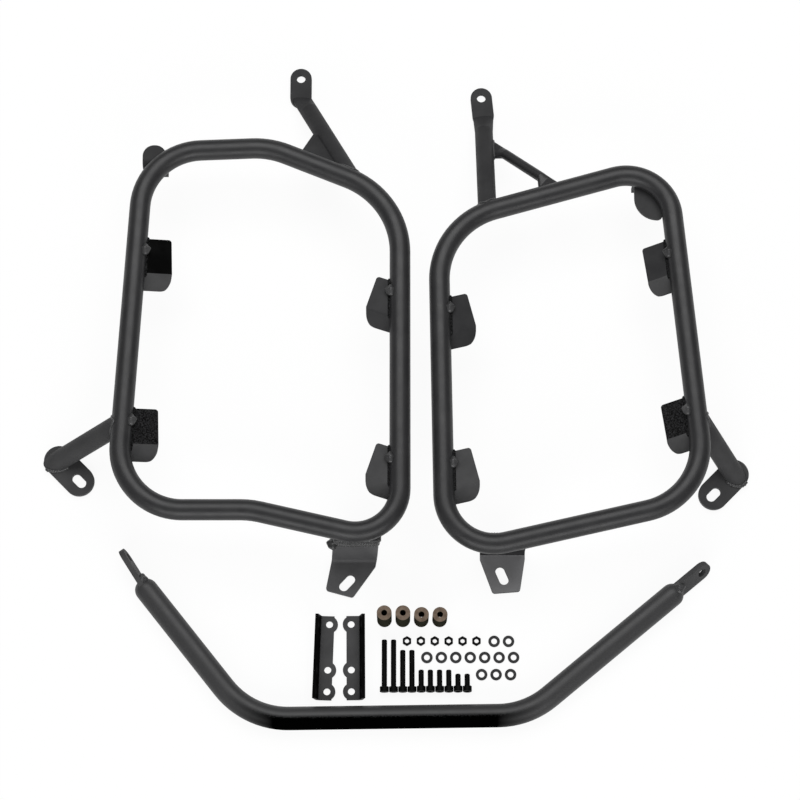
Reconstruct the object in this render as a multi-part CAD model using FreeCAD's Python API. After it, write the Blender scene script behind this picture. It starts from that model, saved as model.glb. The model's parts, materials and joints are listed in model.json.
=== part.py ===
import FreeCAD, Part
import math
import os

V = FreeCAD.Vector
UP = V(0, 0, 1)
DOWN = V(0, 0, -1)

# A circle is drawn as an ellipse of almost this ratio where it is blended into a flat one
ALMOST = 0.999

# Tubes, in millimetres
LOOP_TUBE = 20.0
UPPER_ARM_TUBE = 18.0
FRONT_ARM_TUBE = 20.0
CROSSBAR_TUBE = 22.0
TUBE_WALL = 2.0

# Height of the loops' tube centres above the floor
LOOP_HEIGHT = 66.0

# Left loop, seen from above: sizes of the tube's centre line, from its inner bottom corner
LEFT_LOOP_BOTTOM = -156.0
LEFT_LOOP_LENGTH = 393.0
LEFT_LOOP_WIDTH = 267.0
LEFT_TOP_WIDTH = 249.0
LEFT_TOP_BEND_IN = 127.0
LEFT_TOP_FALL = 52.0
LEFT_TOP_RISE = 5.0
LEFT_BOTTOM_BEND_IN = 140.0
LEFT_BOTTOM_RISE = 32.0
LEFT_INNER_BOTTOM = V(0, LEFT_LOOP_BOTTOM, 0)
LEFT_INNER_TOP = LEFT_INNER_BOTTOM + V(0, LEFT_LOOP_LENGTH - LEFT_TOP_FALL, 0)
LEFT_TOP_BEND = LEFT_INNER_BOTTOM + V(-LEFT_TOP_BEND_IN, LEFT_LOOP_LENGTH, 0)
LEFT_OUTER_TOP = LEFT_INNER_BOTTOM + V(-LEFT_TOP_WIDTH, LEFT_LOOP_LENGTH - LEFT_TOP_RISE, 0)
LEFT_BOTTOM_BEND = LEFT_INNER_BOTTOM + V(-LEFT_BOTTOM_BEND_IN, LEFT_BOTTOM_RISE, 0)
LEFT_OUTER_BOTTOM = LEFT_INNER_BOTTOM + V(-LEFT_LOOP_WIDTH, LEFT_BOTTOM_RISE, 0)

# Right loop, seen from above: sizes of the tube's centre line, from its inner bottom corner
RIGHT_LOOP_LEFT = 42.0
RIGHT_LOOP_BOTTOM = -168.0
RIGHT_LOOP_LENGTH = 389.0
RIGHT_LOOP_WIDTH = 245.7
RIGHT_TOP_WIDTH = 222.0
RIGHT_INNER_LEAN = 5.0
RIGHT_TOP_FALL = 63.0
RIGHT_BOTTOM_RISE = 56.0
RIGHT_INNER_BOTTOM = V(RIGHT_LOOP_LEFT, RIGHT_LOOP_BOTTOM, 0)
RIGHT_INNER_TOP = RIGHT_INNER_BOTTOM + V(-RIGHT_INNER_LEAN, RIGHT_LOOP_LENGTH - RIGHT_TOP_FALL, 0)
RIGHT_OUTER_TOP = RIGHT_INNER_TOP + V(RIGHT_TOP_WIDTH, RIGHT_TOP_FALL, 0)
RIGHT_OUTER_BOTTOM = RIGHT_INNER_BOTTOM + V(RIGHT_LOOP_WIDTH, RIGHT_BOTTOM_RISE, 0)

# Bend radii of the loops' centre lines
LEFT_OUTER_TOP_RADIUS = 60.0
LEFT_INNER_TOP_RADIUS = 82.0
LEFT_INNER_BOTTOM_RADIUS = 42.0
LEFT_OUTER_BOTTOM_RADIUS = 60.0
RIGHT_INNER_TOP_RADIUS = 74.0
RIGHT_OUTER_TOP_RADIUS = 44.0
RIGHT_OUTER_BOTTOM_RADIUS = 66.0
RIGHT_INNER_BOTTOM_RADIUS = 47.0
JOG_RADIUS = 80.0

# Upper arms: where they leave the loop, and their ends, pressed flat and drilled
LEFT_ARM_ALONG = 87.0
LEFT_ARM_SPREAD = 100.0
LEFT_ARM_RISE = 130.0
LEFT_LUG_LEAN = 0.0
LEFT_LUG_REACH = 20.0
RIGHT_ARM_ALONG = 49.5
RIGHT_ARM_SPREAD = 46.8
RIGHT_ARM_RISE = 137.0
RIGHT_LUG_LEAN = 1.8
RIGHT_LUG_REACH = 19.0
LUG_THICKNESS = 5.0
LUG_WIDTH = 21.5
LUG_HOLE = 9.0
PRESS_LENGTH = 24.0
PRESS_INSET = 0.3
LEFT_ARM_END = LEFT_INNER_TOP + V(-LEFT_ARM_SPREAD, LEFT_ARM_RISE, 0)
LEFT_LUG_HOLE = LEFT_ARM_END + V(-LEFT_LUG_LEAN, LEFT_LUG_REACH, 0)
RIGHT_ARM_END = RIGHT_INNER_TOP + V(RIGHT_ARM_SPREAD, RIGHT_ARM_RISE, 0)
RIGHT_LUG_HOLE = RIGHT_ARM_END + V(-RIGHT_LUG_LEAN, RIGHT_LUG_REACH, 0)

# Gusset of the left upper arm
GUSSET_THICKNESS = 4.0
GUSSET_NEAR = 17.0
GUSSET_FAR = 58.0
GUSSET_REACH = 64.0
GUSSET_TOP = 16.0

# Strut of the right upper arm
STRUT_DIAMETER = 10.0
STRUT_FLAT_WIDTH = 17.0
STRUT_FLAT_THICKNESS = 4.4
STRUT_FLAT_LENGTH = 22.0
STRUT_TAPER = 8.0
STRUT_REACH = 102.0
STRUT_ALONG = 76.0

# Front arms: where they leave the loop, their ends, and their slotted plates
LEFT_FRONT_ALONG = 272.0
LEFT_FRONT_SPREAD = 63.0
LEFT_FRONT_RISE = 62.0
RIGHT_FRONT_ALONG = 256.0
RIGHT_FRONT_SPREAD = 34.8
RIGHT_FRONT_RISE = 36.5
FRONT_PLATE_THICKNESS = 5.0
FRONT_PLATE_WIDTH = 29.0
FRONT_PLATE_SPAN = 28.5
FRONT_PLATE_TURN = 45.0
FRONT_SLOT_WIDTH = 9.0
FRONT_SLOT_LENGTH = 16.0
FRONT_PLATE_ACROSS = FRONT_PLATE_SPAN * math.cos(math.radians(FRONT_PLATE_TURN))
FRONT_PLATE_DOWN = FRONT_PLATE_SPAN * math.sin(math.radians(FRONT_PLATE_TURN))
LEFT_PLATE_SEAT = LEFT_OUTER_BOTTOM + V(-LEFT_FRONT_SPREAD, LEFT_FRONT_RISE, 0)
LEFT_PLATE_SLOT = LEFT_PLATE_SEAT + V(FRONT_PLATE_ACROSS, -FRONT_PLATE_DOWN, 0)
RIGHT_PLATE_SEAT = RIGHT_OUTER_BOTTOM + V(RIGHT_FRONT_SPREAD, RIGHT_FRONT_RISE, 0)
RIGHT_PLATE_SLOT = RIGHT_PLATE_SEAT + V(-FRONT_PLATE_ACROSS, -FRONT_PLATE_DOWN, 0)

# Pannier tabs
TAB_THICKNESS = 3.0
TAB_FLAT = 34.0
TAB_LIP = 15.0
TAB_LIP_ANGLE = 38.0
TAB_FOLD_RADIUS = 3.0
TAB_SMALL_CORNER = 3.0
OUTER_TAB_CORNER = 11.0
INNER_TAB_CORNER = 14.0
OUTER_TAB_DIP = 14.0
INNER_TAB_DIP = 0.0

# Each side's tabs: width at the top and at the fold, slant of the fold, and
# distance of the upper and the lower tab from the side's top corner
LEFT_OUTER_TAB_TOP = 23.0
LEFT_OUTER_TAB_FOLD = 26.0
LEFT_OUTER_TAB_SLANT = -4.0
LEFT_OUTER_UPPER_TAB = 88.0
LEFT_OUTER_LOWER_TAB = 257.5
LEFT_INNER_TAB_TOP = 12.0
LEFT_INNER_TAB_FOLD = 22.5
LEFT_INNER_TAB_SLANT = -18.0
LEFT_INNER_UPPER_TAB = 84.0
LEFT_INNER_LOWER_TAB = 248.5
RIGHT_INNER_TAB_TOP = 16.0
RIGHT_INNER_TAB_FOLD = 24.0
RIGHT_INNER_TAB_SLANT = -12.0
RIGHT_INNER_UPPER_TAB = 74.0
RIGHT_INNER_LOWER_TAB = 226.0
RIGHT_OUTER_TAB_TOP = 23.0
RIGHT_OUTER_TAB_FOLD = 21.0
RIGHT_OUTER_TAB_SLANT = 11.0
RIGHT_OUTER_UPPER_TAB = 79.0
RIGHT_OUTER_LOWER_TAB = 236.0

# Upper front brackets under the outer top corners
EAR_THICKNESS = 4.0
EAR_FOLD_RADIUS = 4.0
EAR_LIFT = 4.0
EAR_DROP = 22.0
EAR_HOLE = 9.0
EAR_HOLE_DROP = 12.0
LEFT_EAR_WIDTH = 23.0
LEFT_EAR_LENGTH = 14.0
LEFT_EAR_IN = 9.0
LEFT_EAR_UP = 10.0
RIGHT_EAR_WIDTH = 27.0
RIGHT_EAR_LENGTH = 34.0
RIGHT_EAR_IN = 17.5
RIGHT_EAR_DOWN = 55.5
RIGHT_EAR_CORNER = 22.0
EAR_SMALL_CORNER = 5.0
LEFT_EAR_TIP = LEFT_OUTER_TOP + V(LEFT_EAR_IN, LEFT_EAR_UP, 0)
RIGHT_EAR_TIP = RIGHT_OUTER_TOP + V(-RIGHT_EAR_IN, -RIGHT_EAR_DOWN, 0)

# Lower slotted brackets
FOOT_THICKNESS = 4.0
FOOT_FOLD_RADIUS = 4.0
FOOT_CORNER = 3.0
FOOT_FOLD_WIDTH = 43.0
FOOT_TIP_WIDTH = 26.0
SLOT_WIDTH = 9.0
SLOT_LENGTH = 18.0
LEFT_FOOT_IN = 45.0
LEFT_FOOT_BELOW = 7.0
LEFT_FOOT_LENGTH = 33.0
LEFT_FOOT_TIP_SHIFT = -13.0
LEFT_FOOT_TIP_SLANT = 7.0
LEFT_UPRIGHT_SHIFT = 6.0
LEFT_SLOT_SIDE = 5.5
LEFT_SLOT_AHEAD = 19.0
LEFT_SLOT_ANGLE = 47.0
RIGHT_FOOT_IN = 56.0
RIGHT_FOOT_ABOVE = 12.0
RIGHT_FOOT_LENGTH = 36.0
RIGHT_FOOT_TIP_SHIFT = 3.5
RIGHT_FOOT_TIP_SLANT = -2.0
RIGHT_UPRIGHT_SHIFT = 0.0
RIGHT_SLOT_SIDE = 0.5
RIGHT_SLOT_AHEAD = 19.0
RIGHT_SLOT_ANGLE = -67.0
LEFT_FOOT_FOLD = LEFT_INNER_BOTTOM + V(-LEFT_FOOT_IN, -LEFT_FOOT_BELOW, 0)
LEFT_SLOT_OFFSET = V(-LEFT_SLOT_SIDE, -LEFT_SLOT_AHEAD, 0)
RIGHT_FOOT_FOLD = RIGHT_INNER_BOTTOM + V(RIGHT_FOOT_IN, RIGHT_FOOT_ABOVE, 0)
RIGHT_SLOT_OFFSET = V(-RIGHT_SLOT_SIDE, -RIGHT_SLOT_AHEAD, 0)

# Rear crossbar: sizes of the tube's centre line, from its left bend, and its end plates
BAR_LEFT = -142.0
BAR_BOTTOM = -312.6
BAR_MIDDLE_LENGTH = 261.4
BAR_MIDDLE_RISE = 3.6
BAR_LEFT_SPREAD = 99.0
BAR_LEFT_RISE = 122.6
BAR_RIGHT_SPREAD = 139.1
BAR_RIGHT_RISE = 114.0
BAR_BEND_RADIUS = 78.0
BAR_PLATE_THICKNESS = 5.0
BAR_PLATE_WIDTH = 20.0
BAR_PLATE_OUT = 46.0
BAR_PLATE_IN = 12.0
BAR_PLATE_HOLE = 9.0
LEFT_PLATE_ROLL = 80.0
LEFT_PLATE_TOE = -6.0
RIGHT_PLATE_ROLL = 62.0
RIGHT_PLATE_TOE = 0.0
BAR_LEFT_BEND = V(BAR_LEFT, BAR_BOTTOM, 0)
BAR_LEFT_END = BAR_LEFT_BEND + V(-BAR_LEFT_SPREAD, BAR_LEFT_RISE, 0)
BAR_RIGHT_BEND = BAR_LEFT_BEND + V(BAR_MIDDLE_LENGTH, BAR_MIDDLE_RISE, 0)
BAR_RIGHT_END = BAR_RIGHT_BEND + V(BAR_RIGHT_SPREAD, BAR_RIGHT_RISE, 0)

# Angle brackets
ANGLE_THICKNESS = 3.0
ANGLE_LENGTH = 80.0
ANGLE_WEB = 18.0
ANGLE_FLANGE = 16.0
ANGLE_FOLD = 78.0
ANGLE_FOLD_RADIUS = 2.0
ANGLE_NOTCH = 3.5
ANGLE_LOBE_RADIUS = 8.0
ANGLE_HOLE = 6.6
ANGLE_LOW_HOLE = 6.6
ANGLE_LOW_PITCH = 20.5
ANGLE_FLANGE_HOLE_END = 15.0
ANGLE_FLANGE_HOLE_EDGE = 6.0
LEFT_ANGLE_MIDDLE = V(-78.0, -253.5, 0)
LEFT_ANGLE_TURN = -1.8
RIGHT_ANGLE_MIDDLE = V(-36.2, -253.5, 0)
RIGHT_ANGLE_TURN = 0.5

# Loose hardware for a 5 mm thread
THREAD = 5.0
TAP_HOLE = 4.2
HEAD_DIAMETER = 8.5
HEAD_HEIGHT = 5.0
HEAD_EDGE = 0.5
SOCKET_ACROSS = 4.0
SOCKET_DEPTH = 2.5
SHAFT_CHAMFER = 0.6
LONG_SCREW = 45.0
MEDIUM_SCREW = 35.0
SHORT_SCREW = 16.0
STUB_SCREW = 12.0
NUT_ACROSS = 8.0
NUT_HEIGHT = 4.0
NUT_CHAMFER = 0.5
WASHER_OUTSIDE = 11.0
WASHER_HOLE = 5.5
WASHER_THICKNESS = 1.0
SPACER_OUTSIDE = 14.0
SPACER_HOLE = 5.6
LONG_SPACER = 40.0
SHORT_SPACER = 31.0

# Layout of the loose hardware
HARDWARE_LEFT = -14.8
SCREW_BASE = -286.5
SCREW_GAP = 0.2
TIP_GAP = 7.0
ROW_GAP = 5.3
NUT_GAP = 5.2
WASHER_GAP = 2.7
NUT_WASHER_GAP = 7.3
LOW_WASHER_GAP = 4.0
SPACER_GAP = 3.5
SPACER_ROW_GAP = 9.1
CLEAR_GAP = 1.5
SCREW_ROW = (
    ("long", LONG_SCREW, 2),
    ("medium", MEDIUM_SCREW, 2),
    ("short", SHORT_SCREW, 4),
    ("stub", STUB_SCREW, 2),
)


def rounded(before, corner, after, radius):
    arriving = (corner - before).normalize()
    leaving = (after - corner).normalize()
    turn = arriving.getAngle(leaving)
    reach = radius * math.tan(turn / 2)
    axis = arriving.cross(leaving).normalize()
    start = corner - arriving * reach
    end = corner + leaving * reach
    centre = start + axis.cross(arriving) * radius
    return start, end, centre, axis, turn


def rod_along(points, radii, radius, closed):
    count = len(points)
    bends = {}
    for i in range(count):
        if closed or 0 < i < count - 1:
            bends[i] = rounded(points[i - 1], points[i], points[(i + 1) % count], radii[i])
    pieces = []
    for i in range(count if closed else count - 1):
        j = (i + 1) % count
        start = bends[i][1] if i in bends else points[i]
        end = bends[j][0] if j in bends else points[j]
        pieces.append(Part.makeCylinder(radius, (end - start).Length, start, end - start))
    for start, end, centre, axis, turn in bends.values():
        rim = Part.Circle(start, axis.cross(start - centre), radius).toShape()
        disc = Part.Face(Part.Wire(rim))
        pieces.append(disc.revolve(centre, axis, math.degrees(turn)))
    return pieces[0].fuse(pieces[1:])


def outline(corners):
    points = [V(x, y, 0) for x, y, radius in corners]
    count = len(points)
    ends = []
    for i in range(count):
        radius = corners[i][2]
        if radius > 0:
            ends.append(rounded(points[i - 1], points[i], points[(i + 1) % count], radius))
        else:
            ends.append((points[i], points[i], points[i], UP, 0.0))
    edges = []
    for i in range(count):
        start, end, centre, axis, turn = ends[i]
        if turn > 0:
            chord = (start + end) * 0.5
            middle = centre + (chord - centre).normalize() * corners[i][2]
            edges.append(Part.Arc(start, middle, end).toShape())
        following = ends[(i + 1) % count][0]
        if (following - end).Length > 0.001:
            edges.append(Part.makeLine(end, following))
    return Part.Wire(edges)


def plate(corners, thickness):
    return Part.Face(outline(corners)).extrude(V(0, 0, thickness))


def oblong(length, width, thickness):
    half = width / 2
    corners = [(-half, -half, half), (length + half, -half, half)]
    corners += [(length + half, half, half), (-half, half, half)]
    return plate(corners, thickness)


def placed(shape, base, along, up=UP):
    side = up.cross(along)
    turn = FreeCAD.Rotation(along, side, up, "XZY")
    moved = shape.copy()
    moved.Placement = FreeCAD.Placement(base, turn).multiply(shape.Placement)
    return moved


def largest(shape):
    return max(shape.Solids, key=lambda solid: solid.Volume)


def raised(point, height):
    return V(point.x, point.y, height)


def heading(start, end):
    return (end - start).normalize()


def upright(radius, height, centre, low):
    return Part.makeCylinder(radius, height, raised(centre, low))


def slab_below(height):
    reach = 2 * max(abs(LEFT_PLATE_SEAT.x), abs(LEFT_LUG_HOLE.y))
    return Part.makeBox(2 * reach, 2 * reach, reach, V(-reach, -reach, height - reach))


def folded_strip(flat, lip, angle, thickness, inside, width, slant=0.0):
    turn = math.radians(angle)
    half = thickness / 2
    centre = V(flat, 0, -half - inside)

    def on_arc(radius, share):
        return centre + V(math.sin(turn * share), 0, math.cos(turn * share)) * radius

    ahead = V(math.cos(turn), 0, -math.sin(turn)) * lip
    outer = inside + thickness
    top_start = V(0, 0, half)
    low_start = V(0, 0, -half)
    top_end = on_arc(outer, 1) + ahead
    low_end = on_arc(inside, 1) + ahead
    edges = [
        Part.makeLine(top_start, on_arc(outer, 0)),
        Part.Arc(on_arc(outer, 0), on_arc(outer, 0.5), on_arc(outer, 1)).toShape(),
        Part.makeLine(on_arc(outer, 1), top_end),
        Part.makeLine(top_end, low_end),
        Part.makeLine(low_end, on_arc(inside, 1)),
        Part.Arc(on_arc(inside, 1), on_arc(inside, 0.5), on_arc(inside, 0)).toShape(),
        Part.makeLine(on_arc(inside, 0), low_start),
        Part.makeLine(low_start, top_start),
    ]
    return Part.Face(Part.Wire(edges)).extrude(V(slant * width, width, 0))


def trimmed(strip, corners):
    box = strip.BoundBox
    cutter = plate(corners, box.ZLength + 2)
    cutter.translate(V(0, 0, box.ZMin - 1))
    return strip.common(cutter)


def loop_solids(points, radii):
    centres = [raised(point, LOOP_HEIGHT) for point in points]
    outside = rod_along(centres, radii, LOOP_TUBE / 2, True)
    inside = rod_along(centres, radii, LOOP_TUBE / 2 - TUBE_WALL, True)
    return outside, outside.cut(inside)


def straight_tube(start, end, diameter):
    length = (end - start).Length
    outside = Part.makeCylinder(diameter / 2, length, start, end - start)
    inside = Part.makeCylinder(diameter / 2 - TUBE_WALL, length, start, end - start)
    return outside, outside.cut(inside)


def upper_arm(root, end, hole, loop):
    start = raised(root, LOOP_HEIGHT)
    seat = raised(end, LUG_THICKNESS / 2)
    ahead = heading(start, seat)
    neck = seat - ahead * PRESS_LENGTH
    outside, tube = straight_tube(start, neck, UPPER_ARM_TUBE)
    side = UP.cross(ahead).normalize()
    ring = Part.Wire(Part.Circle(V(0, 0, 0), UP, UPPER_ARM_TUBE / 2).toShape())
    round_end = placed(ring, neck, side, ahead)
    onward = heading(end, hole)
    inset = 2 * PRESS_INSET
    flat_ring = ellipse(LUG_WIDTH - inset, LUG_THICKNESS - inset)
    flat_end = placed(flat_ring, seat, UP.cross(onward), onward)
    pressed = Part.makeLoft([round_end, flat_end], True, True)
    flat = placed(oblong((hole - end).Length, LUG_WIDTH, LUG_THICKNESS), end, onward)
    flat = flat.cut(upright(LUG_HOLE / 2, LUG_THICKNESS, hole, 0))
    arm = largest(tube.cut(loop).fuse(pressed).fuse(flat))
    return start, seat, outside, arm


def ellipse(wide, thick):
    return Part.Wire(Part.Ellipse(V(0, 0, 0), wide / 2, thick / 2).toShape())


def gusset(start, seat, along, loop, arm):
    ahead = heading(start, seat)
    normal = ahead.cross(along).normalize()
    top = start + ahead * GUSSET_REACH
    points = [start + along * GUSSET_NEAR, start + along * GUSSET_FAR, top + along * GUSSET_TOP, top]
    wire = Part.makePolygon([point - normal * (GUSSET_THICKNESS / 2) for point in points + points[:1]])
    body = Part.Face(wire).extrude(normal * GUSSET_THICKNESS)
    return largest(body.cut(loop).cut(arm))


def strut(start, seat, along, loop, arm):
    first = start + heading(start, seat) * STRUT_REACH
    last = start + along * STRUT_ALONG
    ahead = heading(first, last)
    side = UP.cross(ahead).normalize()
    length = (last - first).Length

    def section(distance, wide, thick):
        drop = side * ((wide - STRUT_DIAMETER) / 2)
        return placed(ellipse(wide, thick), first + ahead * distance - drop, side, ahead)

    taper_end = STRUT_FLAT_LENGTH + STRUT_TAPER
    almost_round = STRUT_DIAMETER * ALMOST
    sections = [
        section(0, STRUT_FLAT_WIDTH, STRUT_FLAT_THICKNESS),
        section(STRUT_FLAT_LENGTH, STRUT_FLAT_WIDTH, STRUT_FLAT_THICKNESS),
        section(taper_end, STRUT_DIAMETER, almost_round),
        section(length - taper_end, STRUT_DIAMETER, almost_round),
        section(length - STRUT_FLAT_LENGTH, STRUT_FLAT_WIDTH, STRUT_FLAT_THICKNESS),
        section(length, STRUT_FLAT_WIDTH, STRUT_FLAT_THICKNESS),
    ]
    body = Part.makeLoft(sections, True, True)
    return largest(body.cut(loop).cut(arm))


def front_arm(root, seat, loop):
    start = raised(root, LOOP_HEIGHT)
    foot = raised(seat, FRONT_PLATE_THICKNESS)
    past = foot + heading(start, foot) * FRONT_ARM_TUBE
    outside, tube = straight_tube(start, past, FRONT_ARM_TUBE)
    return largest(tube.cut(loop).cut(slab_below(FRONT_PLATE_THICKNESS)))


def front_plate(seat, slot):
    span = (slot - seat).Length
    body = oblong(span, FRONT_PLATE_WIDTH, FRONT_PLATE_THICKNESS)
    straight = FRONT_SLOT_LENGTH - FRONT_SLOT_WIDTH
    gap = oblong(straight, FRONT_SLOT_WIDTH, FRONT_PLATE_THICKNESS)
    gap.translate(V(span - straight / 2, 0, 0))
    return placed(body.cut(gap), seat, heading(seat, slot))


def tab(side, along, loop):
    top, bottom, inward, top_width, fold_width, slant, dip, corner = side
    rise = math.tan(math.radians(slant))
    wide = max(top_width, fold_width)
    strip = folded_strip(TAB_FLAT, TAB_LIP, TAB_LIP_ANGLE, TAB_THICKNESS, TAB_FOLD_RADIUS, wide, rise)
    end = strip.BoundBox.XMax - max(0.0, rise * wide)
    corners = [
        (0, 0, 0),
        (rise * top_width, top_width, TAB_SMALL_CORNER),
        (TAB_FLAT + rise * fold_width, fold_width, 0),
        (end + rise * fold_width, fold_width, corner),
        (end, 0, 0),
    ]
    body = trimmed(strip, corners)
    body.translate(V(0, LOOP_TUBE / 2, 0))
    body.rotate(V(0, 0, 0), V(1, 0, 0), -dip)
    if inward < 0:
        body = body.mirror(V(0, 0, 0), V(0, 1, 0))
    direction = heading(top, bottom)
    body = placed(body, raised(top + direction * along, LOOP_HEIGHT), direction)
    return largest(body.cut(loop))


def ear_bracket(tip, toward_fold, length, width, corners, loop):
    strip = folded_strip(length, EAR_DROP, 90, EAR_THICKNESS, EAR_FOLD_RADIUS, width)
    body = trimmed(strip, corners)
    reach = strip.BoundBox.XMax
    hole_height = strip.BoundBox.ZMin + EAR_DROP - EAR_HOLE_DROP
    hole_start = V(reach - 2 * EAR_THICKNESS, width / 2, hole_height)
    body = body.cut(Part.makeCylinder(EAR_HOLE / 2, 4 * EAR_THICKNESS, hole_start, V(1, 0, 0)))
    side = UP.cross(toward_fold)
    base = raised(tip, ear_height()) - side * (width / 2)
    return largest(placed(body, base, toward_fold).cut(loop))


def ear_height():
    return LOOP_HEIGHT - LOOP_TUBE / 2 + EAR_LIFT - EAR_THICKNESS / 2


def left_ear(loop):
    tip_radius = LEFT_EAR_WIDTH / 2 - 0.5
    far = LEFT_EAR_LENGTH + EAR_FOLD_RADIUS + 2 * EAR_THICKNESS
    corners = [(0, 0, tip_radius), (far, 0, 0), (far, LEFT_EAR_WIDTH, 0), (0, LEFT_EAR_WIDTH, tip_radius)]
    return ear_bracket(LEFT_EAR_TIP, V(0, -1, 0), LEFT_EAR_LENGTH, LEFT_EAR_WIDTH, corners, loop)


def right_ear(loop):
    far = RIGHT_EAR_LENGTH + EAR_FOLD_RADIUS + 2 * EAR_THICKNESS
    wide = RIGHT_EAR_WIDTH
    corners = [(0, 0, EAR_SMALL_CORNER), (far, 0, 0), (far, wide, 0), (0, wide, RIGHT_EAR_CORNER)]
    return ear_bracket(RIGHT_EAR_TIP, V(0, 1, 0), RIGHT_EAR_LENGTH, wide, corners, loop)


def point_at(start, end, x):
    share = (x - start.x) / (end.x - start.x)
    return start + (end - start) * share


def lower_bracket(fold, length, tip_shift, tip_slant, upright_shift, slot_offset, slot_angle, tube_line, loop):
    tube = point_at(tube_line[0], tube_line[1], fold.x)
    rise = LOOP_HEIGHT - FOOT_THICKNESS / 2
    back = tube.y - fold.y
    angle = math.degrees(math.atan2(rise, back))
    upright_length = math.hypot(rise, back) - FOOT_FOLD_RADIUS
    wide = FOOT_FOLD_WIDTH + 2 * abs(upright_shift)
    strip = folded_strip(length, upright_length, angle, FOOT_THICKNESS, FOOT_FOLD_RADIUS, wide)
    strip.translate(V(0, -abs(upright_shift), 0))
    half = FOOT_FOLD_WIDTH / 2
    tip_low = half + tip_shift - FOOT_TIP_WIDTH / 2
    tip_high = half + tip_shift + FOOT_TIP_WIDTH / 2
    far = strip.BoundBox.XMax + FOOT_THICKNESS
    shoulder = length - FOOT_CORNER
    corners = [
        (max(tip_slant, 0.0), tip_low, FOOT_CORNER),
        (shoulder, 0, 0),
        (far, upright_shift, 0),
        (far, FOOT_FOLD_WIDTH + upright_shift, 0),
        (shoulder, FOOT_FOLD_WIDTH, 0),
        (max(-tip_slant, 0.0), tip_high, FOOT_CORNER),
    ]
    body = trimmed(strip, corners)
    base = raised(fold - V(half, length, 0), FOOT_THICKNESS / 2)
    body = placed(body, base, V(0, 1, 0), DOWN)
    turn = math.radians(slot_angle)
    along = V(math.cos(turn), math.sin(turn), 0)
    run = SLOT_LENGTH - SLOT_WIDTH
    slot = oblong(run, SLOT_WIDTH, 3 * FOOT_THICKNESS)
    slot = placed(slot, fold + slot_offset - along * (run / 2) - UP * FOOT_THICKNESS, along)
    return largest(body.cut(slot).cut(loop))


def plate_heading(bend, end, toe):
    return FreeCAD.Rotation(UP, toe).multVec(heading(bend, end))


def bar_plate(end, ahead, roll):
    body = oblong(BAR_PLATE_OUT + BAR_PLATE_IN - BAR_PLATE_WIDTH / 2, BAR_PLATE_WIDTH, BAR_PLATE_THICKNESS)
    square = Part.makeBox(BAR_PLATE_WIDTH, BAR_PLATE_WIDTH, BAR_PLATE_THICKNESS)
    square.translate(V(0, -BAR_PLATE_WIDTH / 2, 0))
    keep = Part.makeBox(BAR_PLATE_OUT + BAR_PLATE_IN, BAR_PLATE_WIDTH, BAR_PLATE_THICKNESS)
    keep.translate(V(0, -BAR_PLATE_WIDTH / 2, 0))
    body = body.fuse(square).common(keep).removeSplitter()
    hole_at = V(BAR_PLATE_OUT + BAR_PLATE_IN - BAR_PLATE_WIDTH / 2, 0, 0)
    body = body.cut(Part.makeCylinder(BAR_PLATE_HOLE / 2, BAR_PLATE_THICKNESS, hole_at))
    body.translate(V(-BAR_PLATE_IN, 0, -BAR_PLATE_THICKNESS / 2))
    body.rotate(V(0, 0, 0), V(1, 0, 0), roll)
    return placed(body, end, ahead)


def crossbar():
    height = CROSSBAR_TUBE / 2
    points = [BAR_LEFT_END, BAR_LEFT_BEND, BAR_RIGHT_BEND, BAR_RIGHT_END]
    points = [raised(point, height) for point in points]
    radii = [0, BAR_BEND_RADIUS, BAR_BEND_RADIUS, 0]
    outside = rod_along(points, radii, height, False)
    inside = rod_along(points, radii, height - TUBE_WALL, False)
    for end in (points[0], points[3]):
        outside = outside.fuse(Part.makeSphere(height, end))
        inside = inside.fuse(Part.makeSphere(height - TUBE_WALL, end))
    left_ahead = plate_heading(points[1], points[0], LEFT_PLATE_TOE)
    right_ahead = plate_heading(points[2], points[3], RIGHT_PLATE_TOE)
    left = bar_plate(points[0], left_ahead, LEFT_PLATE_ROLL)
    right = bar_plate(points[3], right_ahead, RIGHT_PLATE_ROLL)
    tube = largest(outside.cut(inside).cut(left).cut(right))
    return tube, left, right


def angle_bracket(middle, turn, hand):
    bend = math.radians(ANGLE_FOLD)
    fold_reach = (ANGLE_THICKNESS + ANGLE_FOLD_RADIUS) * math.tan(bend / 2)
    flat = ANGLE_WEB - fold_reach
    lip = ANGLE_FLANGE - fold_reach
    strip = folded_strip(flat, lip, ANGLE_FOLD, ANGLE_THICKNESS, ANGLE_FOLD_RADIUS, ANGLE_LENGTH)
    box = strip.BoundBox
    low = box.ZMin - 1
    tall = box.ZLength + 2
    keep = Part.makeBox(box.XMax - ANGLE_NOTCH, ANGLE_LENGTH, tall, V(ANGLE_NOTCH, 0, low))
    rows = angle_rows()
    for row in rows:
        keep = keep.fuse(Part.makeCylinder(ANGLE_LOBE_RADIUS, tall, V(ANGLE_LOBE_RADIUS, row, low)))
    body = strip.common(keep)
    for row, hole in zip(rows, (ANGLE_HOLE, ANGLE_HOLE, ANGLE_LOW_HOLE)):
        body = body.cut(Part.makeCylinder(hole / 2, tall, V(ANGLE_LOBE_RADIUS, row, low)))
    for row in (ANGLE_FLANGE_HOLE_END, ANGLE_LENGTH - ANGLE_FLANGE_HOLE_END):
        start, normal = flange_hole(row)
        through = 2 * ANGLE_THICKNESS
        drill = Part.makeCylinder(ANGLE_HOLE / 2, 2 * through, start - normal * through, normal)
        body = body.cut(drill)
    body = largest(body)
    body.translate(V(-ANGLE_WEB, -ANGLE_LENGTH / 2, 0))
    if hand < 0:
        body = body.mirror(V(0, 0, 0), V(0, 1, 0))
    body = placed(body, V(0, 0, 0), V(hand, 0, 0), DOWN)
    body.rotate(V(0, 0, 0), UP, turn)
    body.translate(raised(middle, ANGLE_THICKNESS / 2))
    return body


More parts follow.
